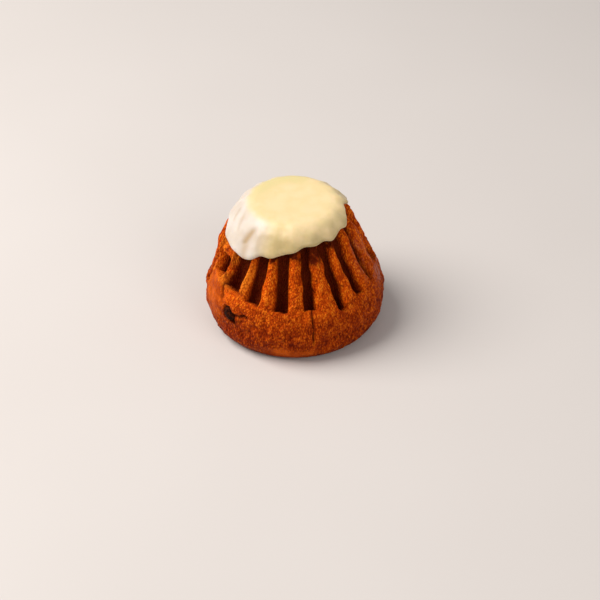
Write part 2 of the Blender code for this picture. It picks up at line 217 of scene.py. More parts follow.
# How finely the crust is divided, across each flute and up the cake
FLUTE_COLUMNS = 32
FLOOR_SHARE = 0.22  # of the columns in half a pitch, the share on the flute's floor
WALL_SHARE = 0.5  # and the share on its floor and wall together
FOOT_RINGS = (0.0, 0.35, 0.7, 0.9, 1.0)  # under the cake, as shares of the foot's radius
FOOT_TURN = 6.0 * mm  # up to here the rows lie closer together towards the foot
FOOT_ROWS = 12
CROWN_ROWS = 46  # from there to the ledge
LEDGE_ROWS = (-0.9, -0.6, -0.35, -0.12, 0.02, 0.3, 0.7, 1.2)  # over the ledge, in mm
LEDGE_HALF_HEIGHT = 1.2 * mm
RIB_ROWS = 50  # from the ledge to the rim
RIM_ROWS = 22  # and over the rim to the top
TOP_INSET = 2.5 * mm
TOP_RINGS = (0.6, 0.0)  # on top, as shares of the radius within that inset


def ease(share):
    """0 to 1, leaving and arriving gently."""
    share = min(1.0, max(0.0, share))
    return share * share * (3 - 2 * share)


def variation(flute, kind):
    """A fixed, irregular value from -1 to 1 for one flute."""
    return math.sin(flute * (2.4 + kind) + 1.7 * kind + 0.6 * math.sin(flute * 1.3))


def blended(values, phase):
    """Reads a list of values spread evenly round the cake between two of them."""
    place = phase * len(values) / FLUTES
    index = math.floor(place)
    share = ease(place - index)
    return values[index % len(values)] * (1 - share) + values[(index + 1) % len(values)] * share


def azimuth_of(phase, height):
    """The azimuth of a place counted in flutes: a whole number is a flute's middle."""
    bend = blended(FLUTE_BENDS, phase) * (1 - ease((height - BEND_HEIGHT) / BEND_REACH))
    return FIRST_FLUTE + phase * TURN / FLUTES + (blended(FLUTE_DRIFTS, phase) + bend) * degree


def apart(azimuth, other):
    """The smaller turn from one azimuth to another, with its sign."""
    return (azimuth - other + math.pi) % TURN - math.pi


def crest_radius(height):
    """The radius over the ribs' crests and the crown."""
    if height < BELLY_HEIGHT:
        drop = (BELLY_HEIGHT - height) / BELLY_HEIGHT
        reach = (1 - drop**CROWN_POWER) ** (1 / CROWN_POWER)
        return FOOT_RADIUS + (BELLY_RADIUS - FOOT_RADIUS) * reach
    fall = math.hypot(TAPER_START, TAPER * (height - BELLY_HEIGHT)) - TAPER_START
    if height < RIM_HEIGHT:
        return BELLY_RADIUS - fall
    turned = min(1.0, (height - RIM_HEIGHT) / (CAKE_HEIGHT - RIM_HEIGHT))
    return BELLY_RADIUS - fall - RIM_ROUNDING * (1 - math.sqrt(1 - turned * turned))


def around(azimuth, radius, height):
    """The point at an azimuth, with the cake's lean and its uneven swelling."""
    off_foot = ease(height / BELLY_HEIGHT)
    swell = math.sin(3 * azimuth + 3.3) + 0.7 * math.sin(5 * azimuth + height / (6 * mm))
    radius *= 1 + CAKE_SWELL * swell * off_foot
    rise = (height - BELLY_HEIGHT) * off_foot
    return Vector(
        (radius * math.sin(azimuth) + LEAN * rise, LEAN_BACK * rise - radius * math.cos(azimuth), height)
    )


def waist(azimuth, height):
    """How far the sides over the ledge stand back from the crest radius."""
    leftward = max(0.0, math.cos(azimuth - WAIST_AZIMUTH)) ** 2
    back = WAIST * leftward * (1 - ease((height - WAIST_HEIGHT) / WAIST_REACH))
    for middle, level, half_width, half_height, out in SWELLINGS:
        across = math.sin((azimuth - middle) / 2) / math.sin(half_width / 2)
        up = (height - level) / half_height
        back -= out * max(0.0, 1 - across * across - up * up) ** 2
    return back


def rough(point, size, stretch=1.0):
    """Smooth noise from about -1 to 1, with features of a size, drawn out upwards."""
    return 1.6 * noise.noise(Vector((point.x, point.y, point.z / stretch)) / size)


def nearness(azimuth, height, place, half_width, half_height):
    """1 in the middle of a patch of the crust and 0 past its edge."""
    across = apart(azimuth, place[0]) * crest_radius(height) / half_width
    up = (height - place[1]) / half_height
    return ease(1.25 - math.hypot(across, up))


def along_line(azimuth, height, first, low, last, high):
    """How far along a line on the crust a place is, from 0 to 1, and how far to its side."""
    run = Vector((apart(last, first) * BELLY_RADIUS, high - low))
    here = Vector((apart(azimuth, first) * BELLY_RADIUS, height - low))
    along = here.dot(run) / run.length_squared
    return along, run.cross(here) / run.length


def across_flute(share, flute, radius, climb, wander):
    """How far from a flute's middle a column lies, as a share of half its pitch, and how
    much of the flute's depth it has."""
    half_pitch = math.pi * radius / FLUTES
    usual = 1 + FLUTE_VARIATION * variation(flute, 1)
    low, high = FLUTE_WIDTHS.get(flute, (usual, usual))
    width = low + (high - low) * ease(climb) + wander
    mouth = min(WIDEST_MOUTH, MOUTH_HALF_WIDTH * width / half_pitch)
    floor = mouth * FLOOR_HALF_WIDTH / MOUTH_HALF_WIDTH
    if share <= FLOOR_SHARE:
        return floor * share / FLOOR_SHARE, 1 - 0.08 * (share / FLOOR_SHARE) ** 2
    if share <= WALL_SHARE:
        up = (share - FLOOR_SHARE) / (WALL_SHARE - FLOOR_SHARE)
        return floor + (mouth - floor) * up, 0.92 * (1 - ease(up))
    return mouth + (1 - mouth) * (share - WALL_SHARE) / (1 - WALL_SHARE), 0.0


def crust_relief(point, azimuth, height, on_rib):
    """How far the crust stands out at a point, and what its look depends on: the painted highlight on its
    raised grain, the dark of burnt crust and the painted shade in its hollows, how smooth and how syrupy it
    is, and how golden, partly as painted light."""
    smooth, ragged, golden_and_lit, syrup, burnt_and_shaded = (
        max(nearness(azimuth, height, patch, *patch[2:]) for patch in patches)
        for patches in (SMOOTH_PATCHES, RAGGED_PATCHES, GOLDEN_AND_LIT_PATCHES, SYRUP_PATCHES, BURNT_AND_SHADED_PATCHES)
    )
    coarse = 1 - 0.8 * smooth
    stretch = 1 + GRAIN_DRAWN_OUT * on_rib
    out = SWELL_OUT * rough(point, SWELL_SIZE)
    clumps = rough(point, CLUMP_SIZE, stretch)
    out += (CLUMP_OUT + CLUMP_OUT_WHERE_RAGGED * ragged) * clumps * coarse
    grain = rough(point, GRAIN_SIZE, stretch)
    out += GRAIN_OUT * grain * coarse
    # Painted highlight: lighter where clumps and grain stand out, darker between them
    grain_highlight = 0.5 + (0.25 * clumps + 0.40 * grain) * coarse
    # Darker between ragged clumps as painted shade, and where the crust burnt, with the painted shadow
    # under the icing's edge
    burn_and_shade = 0.6 * ragged * ease(-clumps) + 1.2 * burnt_and_shaded * ease(0.9 - 0.6 * grain)
    out += BURNT_OUT * burnt_and_shaded * (0.5 + grain)

    distances, centres = noise.voronoi(point / CELL_SIZE)
    crumbs = max(0.8 * ragged, burnt_and_shaded)
    out += CRUMB_OUT * crumbs * (0.45 - distances[0])
    # Painted shade in the gaps between crumbs
    burn_and_shade += 0.5 * crumbs * ease((distances[0] - 0.40) / 0.25)
    # Pores, darkened inside as painted shade
    pore = ease(1.2 - distances[0] / 0.30) * coarse * (1 - crumbs)
    pore *= ease(2.2 * noise.cell(centres[0] * 7.31) - 0.6)
    out -= PORE_DEPTH * pore
    burn_and_shade += 0.7 * pore

    for place in LUMPS:
        out += place[3] * nearness(azimuth, height, place, place[2], place[2])
    for first, low, last, high, half_width, depth in TEARS:
        along, aside = along_line(azimuth, height, first, low, last, high)
        if 0 < along < 1:
            aside += TEAR_WANDER * noise.noise(Vector((first * 5, along * 5, 0)))
            cut = math.exp(-((aside / half_width) ** 2)) * min(1.0, 5 * along * (1.1 - along))
            out -= depth * cut
            # Painted shade in the tear
            burn_and_shade += TEAR_SHADE * depth * cut
    for first, high, last, low, half_width, proud in SYRUP_RUNS:
        along, aside = along_line(azimuth, height, first, high, last, low)
        if 0 < along < 1:
            aside += RUN_WANDER * noise.noise(Vector((first * 5, along * 4, 0)))
            run = math.exp(-((aside / half_width) ** 2)) * min(1.0, 6 * along, 6 * (1 - along))
            out += proud * run
            syrup = max(syrup, run)
    for place in RAISINS.values():
        across = apart(azimuth, place[0]) * crest_radius(height) / place[2]
        up = (height - place[1]) / place[3]
        from_middle = math.hypot(across, up) + HOLLOW_RAGGED * rough(point, HOLLOW_RAGGED_SIZE)
        if from_middle < 2:
            hollow = math.sqrt(max(0.0, 1 - (from_middle / 1.05) ** 2))
            rim = math.exp(-(((from_middle - 1.25) / 0.2) ** 2))
            out += HOLLOW_RIM * rim - 2 * place[4] * hollow
            # The hollow round a raisin is darkened as painted shade
            burn_and_shade += ease(2.5 * (1.35 - from_middle))
    return out, (grain_highlight, min(1.0, burn_and_shade), smooth, syrup, golden_and_lit)


def crust_point(phase, height, above_ledge):
    """A point of the crust, with its painted highlight on raised grain, its burn and painted shade, and how
    smooth, syrupy and golden it is there, the gold partly painted light.
    """
    flute = round(phase)
    side = 1 if phase > flute else -1
    share = 2 * abs(phase - flute)
    radius = crest_radius(height)
    plain = around(azimuth_of(phase, height), radius, height)
    wander = FLUTE_WANDER * rough(plain, WANDER_SIZE, 1.5)
    climb = above_ledge / (CAKE_HEIGHT - height + above_ledge)
    across, sunk = across_flute(share, flute % FLUTES, radius, climb, wander)
    azimuth = azimuth_of(flute + side * across / 2, height)
    plain = around(azimuth, radius, height)
    burn_and_shade = 0.0
    on_rib = 0.0
    if above_ledge > 0:
        full = FLUTE_DEPTH + (FLUTE_DEPTH_AT_TOP - FLUTE_DEPTH) * ease(climb)
        full *= 1 + FLUTE_VARIATION * variation(flute % FLUTES, 2)
        closed = SHORT_FLUTES.get(flute % FLUTES, CAKE_HEIGHT + CLOSING)
        full *= 1 - 0.9 * ease(1 + (height - closed) / CLOSING)
        depth = full * sunk
        rib = min(1.0, (1 - share) / (1 - WALL_SHARE))
        on_rib = ease(above_ledge / RIB_START) * (1 - sunk)
        radius -= depth + RIB_ROUNDING * rib**2 * ease(0.3 + above_ledge / POCKET_REACH)
        height -= POCKET_DIP * depth * (1 - ease(above_ledge / POCKET_REACH))
        radius -= waist(azimuth, height) * ease(above_ledge / WAIST_STEP)
        # Painted shade, darker the deeper the flute
        burn_and_shade = ease((depth - SHADE_START) / SHADE_REACH)
    else:
        near_ledge = math.exp(above_ledge / LIP_REACH)
        radius += LEDGE_LIP * near_ledge * (1 - ease(share))
    out, (grain_highlight, dark, smooth, syrup, golden_and_lit) = crust_relief(plain, azimuth, plain.z, on_rib)
    radius += out * ease(plain.z / RELIEF_OVER_FOOT) * ease((CAKE_HEIGHT - plain.z) / RELIEF_UNDER_TOP)
    level = 1 - burn_and_shade
    looks = (grain_highlight, min(1.0, burn_and_shade + dark), smooth * level, syrup * (0.3 + 0.7 * level), golden_and_lit * level)
    return around(azimuth, radius, height), looks


def crust_rows(phase):
    """The rows up the side at a phase: each row's height and its height over the ledge."""
    ragged = noise.noise(Vector((phase * 3.1, 0.5, 2.5))) + 0.6 * noise.noise(Vector((phase * 9, 4, 1)))
    ledge = blended(LEDGES, phase) * mm + LEDGE_RAGGED * ragged
    rows = [FOOT_TURN * (step / FOOT_ROWS) ** 2 for step in range(1, FOOT_ROWS + 1)]
    below = ledge - LEDGE_HALF_HEIGHT
    rows += [FOOT_TURN + (below - FOOT_TURN) * step / CROWN_ROWS for step in range(1, CROWN_ROWS + 1)]
    rows += [ledge + above * mm for above in LEDGE_ROWS]
    start = ledge + LEDGE_HALF_HEIGHT
    rows += [start + (RIM_HEIGHT - start) * step / RIB_ROWS for step in range(1, RIB_ROWS + 1)]
    turns = [math.sin(step / RIM_ROWS * math.pi / 2) for step in range(1, RIM_ROWS + 1)]
    rows += [RIM_HEIGHT + (CAKE_HEIGHT - RIM_HEIGHT) * turn for turn in turns]
    return [(height, height - ledge) for height in rows]


def turned_tube(rows, columns):
    """A tube of radius 1 with its rows at heights 0, 1, 2 and so on, turned from one line:
    each vertex is to be moved to its real place."""
    mesh = bmesh.new()
    line = [mesh.verts.new((0, -1, row)) for row in range(rows)]
    edges = [mesh.edges.new(pair) for pair in zip(line, line[1:])]
    bmesh.ops.spin(
        mesh, geom=line + edges, cent=(0, 0, 0), axis=(0, 0, 1), angle=TURN, steps=columns, use_merge=True
    )
    return mesh


def places_on(mesh, columns_in_flute):
    """Each vertex of a turned tube with its phase in flutes and its row."""
    for vertex in mesh.verts:
        azimuth = math.atan2(vertex.co.x, -vertex.co.y)
        column = round(azimuth / TURN * FLUTES * columns_in_flute)
        yield vertex, column / columns_in_flute, round(vertex.co.z)


def finished(name, mesh, body, look):
    """An object from a closed mesh: faces out, smooth, in its material, riding on a body."""
    bmesh.ops.remove_doubles(mesh, verts=mesh.verts, dist=0.001 * mm)
    bmesh.ops.recalc_face_normals(mesh, faces=mesh.faces)
    data = bpy.data.meshes.new(name)
    mesh.to_mesh(data)
    mesh.free()
    data.shade_smooth()
    data.materials.append(look)
    piece = bpy.data.objects.new(name, data)
    bpy.context.scene.collection.objects.link(piece)
    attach(piece, body)
    return piece


def crust_mesh():
    """The crust in one closed surface, from the middle of its foot to the middle of its top."""
    sides = {}
    count = len(crust_rows(0.0))
    top_radius = crest_radius(CAKE_HEIGHT) - TOP_INSET
    mesh = turned_tube(len(FOOT_RINGS) + count + len(TOP_RINGS), FLUTES * FLUTE_COLUMNS)
    names = ("grain_highlight", "burn_and_shade", "smooth", "syrup", "golden_and_lit")
    layers = [mesh.verts.layers.float.new(name) for name in names]
    for vertex, phase, row in places_on(mesh, FLUTE_COLUMNS):
        step = row - len(FOOT_RINGS)
        if step < 0:
            vertex.co = around(azimuth_of(phase, 0.0), FOOT_RADIUS * FOOT_RINGS[row], 0.0)
        elif step >= count:
            ring = top_radius * TOP_RINGS[step - count]
            vertex.co = around(azimuth_of(phase, CAKE_HEIGHT), ring, CAKE_HEIGHT)
        else:
            if phase not in sides:
                sides[phase] = crust_rows(phase)
            height, above_ledge = sides[phase][step]
            vertex.co, looks = crust_point(phase, height, above_ledge)
            for layer, value in zip(layers, looks):
                vertex[layer] = value
    return mesh


class Look:
    """A material under construction: a Principled shader and the nodes that feed it."""

    def __init__(self, name, **values):
        self.material = bpy.data.materials.new(name)
        self.material.use_nodes = True
        self.tree = self.material.node_tree
        self.shader = self.tree.nodes["Principled BSDF"]
        for socket, value in values.items():
            self.shader.inputs[socket.replace("_", " ")].default_value = value
        self.place = self.add("ShaderNodeTexCoord").outputs["Object"]

    def add(self, kind, **inputs):
        """A node, with each input set to a value or joined to another node's output."""
        node = self.tree.nodes.new(kind)
        for name, value in inputs.items():
            self.feed(node.inputs[name.replace("_", " ")], value)
        return node

    def feed(self, socket, value):
        """Sets an input to a value, or joins another node's output to it."""
        if isinstance(value, bpy.types.NodeSocket):
            self.tree.links.new(value, socket)
        else:
            socket.default_value = value

    def stretched(self, scale):
        """The piece's own coordinates, scaled along each axis."""
        return self.add("ShaderNodeMapping", Vector=self.place, Scale=scale).outputs["Vector"]

    def height(self):
        """The height over the floor."""
        return self.add("ShaderNodeSeparateXYZ", Vector=self.place).outputs["Z"]

    def clouds(self, place, scale, detail=3.0, roughness=0.55):
        """Noise from 0 to 1, with about as many clouds to a metre as its scale."""
        return self.add(
            "ShaderNodeTexNoise", Vector=place, Scale=scale, Detail=detail, Roughness=roughness
        ).outputs["Fac"]

    def cells(self, place, scale):
        """How far each place is from the middle of its cell: 0 there, about 0.6 between two."""
        return self.add("ShaderNodeTexVoronoi", Vector=place, Scale=scale).outputs["Distance"]

    def spread(self, value, low, high, to_low=0.0, to_high=1.0):
        """A value from low to high mapped to another range."""
        node = self.add("ShaderNodeMapRange", Value=value)
        for name, number in zip(("From Min", "From Max", "To Min", "To Max"), (low, high, to_low, to_high)):
            self.feed(node.inputs[name], number)
        return node.outputs["Result"]

    def measured(self, attribute):
        """A value that the mesh holds at each point."""
        node = self.add("ShaderNodeAttribute")
        node.attribute_name = attribute
        return node.outputs["Fac"]

    def mixed(self, share, first, second):
        """One colour turning into another."""
        node = self.add("ShaderNodeMix")
        node.data_type = "RGBA"
        sockets = {socket.identifier: socket for socket in [*node.inputs, *node.outputs]}
        self.feed(sockets["Factor_Float"], share)
        self.feed(sockets["A_Color"], first)
        self.feed(sockets["B_Color"], second)
        return sockets["Result_Color"]

    def maths(self, operation, *values):
        """Numbers put together by one of the Math node's operations."""
        node = self.add("ShaderNodeMath")
        node.operation = operation
        for socket, value in zip(node.inputs, values):
            self.feed(socket, value)
        return node.outputs["Value"]

    def bump(self, height, strength, distance):
        """Fine relief on the surface and on the wet coat over it."""
        node = self.add("ShaderNodeBump", Height=height, Strength=strength, Distance=distance)
        self.tree.links.new(node.outputs["Normal"], self.shader.inputs["Normal"])
        self.tree.links.new(node.outputs["Normal"], self.shader.inputs["Coat Normal"])


# The crust's linear colours, each of them low on the crown and high on the ribs, going from the painted
# shade between its grains to the painted highlight on their crests, with random tone besides
BETWEEN_GRAINS = ((0.12, 0.007, 0.0002, 1), (0.34, 0.033, 0.0004, 1))
GRAIN_SIDES = ((0.30, 0.030, 0.001, 1), (0.68, 0.090, 0.002, 1))
GRAIN_CRESTS = ((0.60, 0.105, 0.004, 1), (1.0, 0.255, 0.012, 1))
# The darkest and the lightest, where it is smooth, and where it is burnt and where painted shade darkens
# its hollows
LEATHER = ((0.34, 0.040, 0.001, 1), (0.80, 0.145, 0.006, 1))
BURN_AND_SHADE = ((0.03, 0.002, 0.0002, 1), (0.11, 0.008, 0.0006, 1))
GOLD_AND_LIGHT = (1.0, 0.275, 0.016, 1)
SOAKED_AND_SHADED = (0.20, 0.020, 0.002, 1)
LOW_COLOURS_END = 10 * mm
HIGH_COLOURS_START = 30 * mm
FOOT_SHADE = 0.45  # how dark the painted shade is at the crust's foot
FOOT_SHADE_END = 6 * mm


def crust_look():
    """Baked crust: golden grain over brown with painted highlights on raised grain, nearly black where
    burnt and in the painted shade of its hollows and foot, moist with syrup and darker there, partly as
    painted shade.
    """
    look = Look("baked_crust", Specular_IOR_Level=0.03, Coat_Roughness=0.12)
    tall = look.stretched((1.0, 1.0, 0.5))
    grain = look.clouds(tall, 2400.0, 2.0, 0.6)
    granules = look.spread(look.cells(tall, 1350.0), 0.10, 0.75, 1.0, 0.0)
    streaks = look.clouds(look.stretched((1.0, 1.0, 0.3)), 520.0, 2.0, 0.5)
    mottle = look.clouds(look.place, 230.0, 3.0, 0.6)
    broad = look.clouds(look.place, 75.0, 2.0, 0.5)
    tone = look.maths("MULTIPLY_ADD", mottle, 0.5, look.maths("MULTIPLY", broad, 0.5))
    up = look.spread(look.height(), LOW_COLOURS_END, HIGH_COLOURS_START)
    up = look.maths("ADD", up, look.spread(tone, 0.38, 0.62, -0.3, 0.3))
    smooth = look.measured("smooth")
    syrup = look.measured("syrup")

    # Lit: painted highlight on raised grain, with random tone from the noise below
    lit = look.spread(look.measured("grain_highlight"), 0.0, 1.0, -0.10, 0.14)
    lit = look.maths("ADD", lit, look.spread(grain, 0.3, 0.7, -0.22, 0.45))
    lit = look.maths("ADD", lit, look.spread(streaks, 0.3, 0.7, -0.22, 0.22))
    lit = look.maths("MULTIPLY_ADD", granules, 0.70, lit)
    between, sides, crests = (look.mixed(up, *pair) for pair in (BETWEEN_GRAINS, GRAIN_SIDES, GRAIN_CRESTS))
    colour = look.mixed(look.spread(lit, 0.0, 0.5), between, sides)
    colour = look.mixed(look.spread(lit, 0.5, 1.0), colour, crests)
    leather = look.mixed(look.spread(tone, 0.38, 0.62), *LEATHER)
    colour = look.mixed(look.spread(smooth, 0.0, 1.0, 0.0, 0.8), colour, leather)
    # A lighter gold in its patches, most where the grain is lit: partly its own bake, partly painted light
    gilded_and_lit = look.maths("MULTIPLY", look.measured("golden_and_lit"), look.spread(lit, 0.0, 0.8, 0.15, 0.85))
    colour = look.mixed(gilded_and_lit, colour, GOLD_AND_LIGHT)
    # Darker where syrup soaks it: partly wet crust, partly painted shade on the right side
    colour = look.mixed(look.spread(syrup, 0.0, 1.0, 0.0, 0.4), colour, SOAKED_AND_SHADED)
    # Nearly black where burnt and where painted shade lies in the hollows and at the foot
    dark = look.spread(look.measured("burn_and_shade"), 0.0, 0.95, 0.0, 0.94)
    # Painted shade at the foot
    dark = look.maths("MAXIMUM", dark, look.spread(look.height(), 0.0, FOOT_SHADE_END, FOOT_SHADE, 0.0))
    colour = look.mixed(dark, colour, look.mixed(tone, *BURN_AND_SHADE))
    look.feed(look.shader.inputs["Base Color"], colour)

    look.feed(look.shader.inputs["Roughness"], look.spread(grain, 0.35, 0.65, 0.4, 0.65))
    wet = look.maths("MULTIPLY", syrup, look.spread(streaks, 0.50, 0.56, 0.0, 0.6))
    look.feed(look.shader.inputs["Coat Weight"], wet)
    strength = look.spread(look.maths("MAXIMUM", smooth, syrup), 0.0, 1.0, 1.0, 0.35)
    fine = look.maths("MULTIPLY_ADD", streaks, 1.5, look.maths("ADD", granules, grain))
    look.bump(fine, strength, 0.35 * mm)
    return look.material


crust = finished("crust", crust_mesh(), "root", crust_look())
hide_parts("dough")

# ---------------------------------------------------------------------------------------
# The raisins: dried grapes that were kneaded into the dough and show where the crust
# broke round them. Their skin is drawn into sharp wrinkles, dark brown and a little waxy.
# ---------------------------------------------------------------------------------------
RAISIN_FINENESS = 6
RAISIN_CORE = 0.93  # of its size, between its folds
RAISIN_FOLD = 0.10  # how far its folds stand up from that
RAISIN_WRINKLE = 0.045  # and the finer wrinkles on them
RAISIN_DARK = (0.008, 0.001, 0.0003, 1)
RAISIN_BROWN = (0.07, 0.012, 0.002, 1)
# Fixes what noise_vector draws, which otherwise depends on the time of the run
noise.seed_set(1)


def raisin_mesh(place, seed):
    """A wrinkled oval, turned to face out and sunk in its pocket."""
    azimuth, height, across, up, out, proud = place
    mesh = bmesh.new()
    bmesh.ops.create_icosphere(mesh, subdivisions=RAISIN_FINENESS, radius=1)
    for vertex in mesh.verts:
        at = vertex.co.copy()
        wavy = at * 1.7 + Vector((seed, 0, 0)) + 0.35 * noise.noise_vector(at * 2.0)
        fold = 1 - 2.2 * abs(noise.noise(wavy))
        wrinkle = 1 - 2.0 * abs(noise.noise(wavy * 2.6))
        vertex.co = at * (RAISIN_CORE + RAISIN_FOLD * fold + RAISIN_WRINKLE * wrinkle)
        vertex.co = Vector((vertex.co.x * across, vertex.co.y * out, vertex.co.z * up))
    bmesh.ops.transform(mesh, verts=mesh.verts, matrix=Matrix.Rotation(azimuth, 4, "Z"))
    middle = around(azimuth, crest_radius(height) - out + proud, height)
    bmesh.ops.translate(mesh, verts=mesh.verts, vec=middle)
    return mesh


def raisin_look():
    """Raisin skin: nearly black, with patches of brown."""
    look = Look("raisin_skin", Specular_IOR_Level=0.03)
    patches = look.clouds(look.place, 700.0, 4.0)
    colour = look.mixed(look.spread(patches, 0.42, 0.66), RAISIN_DARK, RAISIN_BROWN)
    look.feed(look.shader.inputs["Base Color"], colour)
    look.feed(look.shader.inputs["Roughness"], look.spread(patches, 0.3, 0.7, 0.45, 0.65))
    look.bump(look.clouds(look.place, 2600.0, 3.0), 0.4, 0.1 * mm)
    return look.material


skin = raisin_look()
for number, (name, place) in enumerate(RAISINS.items(), 1):
    raisin = finished(f"raisin_skin_{number}", raisin_mesh(place, 3.7 * number), "root", skin)
    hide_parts(name)

# ---------------------------------------------------------------------------------------
# The icing: poured warm over the top, where it set level and shiny. It ran down the ribs,
# furthest on the left, sagged a little into the flutes and set with a rounded edge.
# ---------------------------------------------------------------------------------------
ICING_GAP = 0.3 * mm  # between it and the crust
ICING_TOP = 1.8 * mm  # how thick it is on top
ICING_SIDE = 1.25 * mm  # and down the sides
ICING_THINNING = 6.0 * mm  # how far over the rim it takes to thin
ICING_TURN = 2.0 * mm  # how far inside the rim it starts to turn down
ICING_FOLD = 0.35 * mm  # how far it sinks over each flute
ICING_FOLD_START = 7.0 * mm  # how far over the rim its folds and waves take to grow
ICING_SCALLOP = 0.35 * mm  # how much further it ran down a rib, and less down a flute
ICING_WOBBLE = 0.3 * mm  # how far its edge strays besides
ICING_BEAD = 0.12  # the last share of its reach, where it rounds off
# Waves down its sides: how deep, how wide, how many times longer than wide
ICING_WAVES = ((0.30 * mm, 6.5 * mm, 1.8), (0.10 * mm, 2.6 * mm, 1.6))
# The broad unevenness of all of it
ICING_SWELL = 0.05 * mm
ICING_SWELL_SIZE = 14.0 * mm
# Creases where its streams met: azimuth and height of each end, half width, depth, how much tan is painted
# in, partly crust showing through and partly painted shade
ICING_CREASES = (
    (-43.8 * degree, 51.5 * mm, -48.5 * degree, 45.5 * mm, 1.5 * mm, 0.20 * mm, 0.9),
    (-47.0 * degree, 47.0 * mm, -43.5 * degree, 38.0 * mm, 2.0 * mm, 0.08 * mm, 0.55),
    (-84.0 * degree, 52.3 * mm, -76.0 * degree, 48.5 * mm, 1.1 * mm, 0.15 * mm, 0.35),
    (-68.0 * degree, 52.3 * mm, -61.0 * degree, 48.0 * mm, 1.2 * mm, 0.15 * mm, 0.35),
    (-33.0 * degree, 50.0 * mm, -31.0 * degree, 43.0 * mm, 1.0 * mm, 0.12 * mm, 0.15),
    (-133 * degree, 50.0 * mm, -127 * degree, 42.0 * mm, 1.4 * mm, 0.40 * mm, 0.5),
    (168 * degree, 49.0 * mm, 172 * degree, 43.0 * mm, 1.3 * mm, 0.35 * mm, 0.4),
)
# How far it ran from the middle of the top: azimuth in degrees, length in mm
ICING_REACH = (
    (-98, 29.5), (-86, 31.5), (-74, 34.2), (-57, 34.3), (-44, 35.0), (-34, 32.6), (-24, 31.0),
    (-9, 29.3), (8, 26.7), (30, 25.9), (45, 26.1), (56, 24.2), (67, 25.2), (80, 21.4), (94, 21.2),
    (108, 25.5), (122, 28.5), (140, 30.5), (164, 30.0), (190, 32.0), (215, 32.0), (240, 30.5),
)
# It lies white down the left, from this far from the middle of the top
WHITE_AZIMUTH = -100 * degree
WHITE_START = 16.5 * mm
WHITE_REACH = 3.5 * mm
# On top at the back left it set glassy, in a band at this distance from the middle
GLASSY_AZIMUTH = -150 * degree
GLASSY_START = 8.0 * mm
GLASSY_REACH = 7.0 * mm
GLASSY_END = 18.0 * mm
GLASSY_FADE = 3.0 * mm

# How finely it is divided, across each flute and from the middle of the top to its edge
ICING_COLUMNS = 28
ICING_TOP_ROWS = 18
ICING_SIDE_ROWS = 46
ICING_BEAD_ROWS = 12
ICING_UNDER_ROWS = 20  # on its underside, down the sides
ICING_UNDER_TOP = (-0.3, -0.7, -1.0)  # and the shares at which the rest lie, under the top
PATH_POINTS = 240


def icing_path():
    """The line that the icing lies on, from the middle of the cake's top and down its ribs:
    the length along it, the radius and the height."""
    drop = np.linspace(0, 1, PATH_POINTS) ** 2 * (CAKE_HEIGHT - LEDGES[0] * mm)
    height = CAKE_HEIGHT - drop
    radius = np.array([crest_radius(value) for value in height])
    length = radius[0] + np.concatenate(([0], np.cumsum(np.hypot(np.diff(radius), np.diff(height)))))
    return (
        np.concatenate(([0], length)),
        np.concatenate(([0], radius)),
        np.concatenate(([CAKE_HEIGHT], height)),
    )


def smooth_round(points, azimuth):
    """A smooth closed curve through (degrees, value) points, read at an azimuth."""
    angles = [point[0] * degree for point in points]
    values = [point[1] for point in points]
    azimuth = angles[0] + (azimuth - angles[0]) % TURN
    count = len(points)
    for index in range(count):
        span = [(index + step) % count for step in (-1, 0, 1, 2)]
        turns = [(index + step) // count * TURN for step in (-1, 0, 1, 2)]
        at = [angles[place] + turn for place, turn in zip(span, turns)]
        if at[1] <= azimuth <= at[2]:
            before, start, end, after = (values[place] for place in span)
            step = at[2] - at[1]
            share = (azimuth - at[1]) / step
            leaving = (end - before) / (at[2] - at[0]) * step
            arriving = (after - start) / (at[3] - at[1]) * step
            square, cube = share**2, share**3
            return (
                (2 * cube - 3 * square + 1) * start
                + (cube - 2 * square + share) * leaving
                + (3 * square - 2 * cube) * end
                + (cube - square) * arriving
            )
    return values[0]


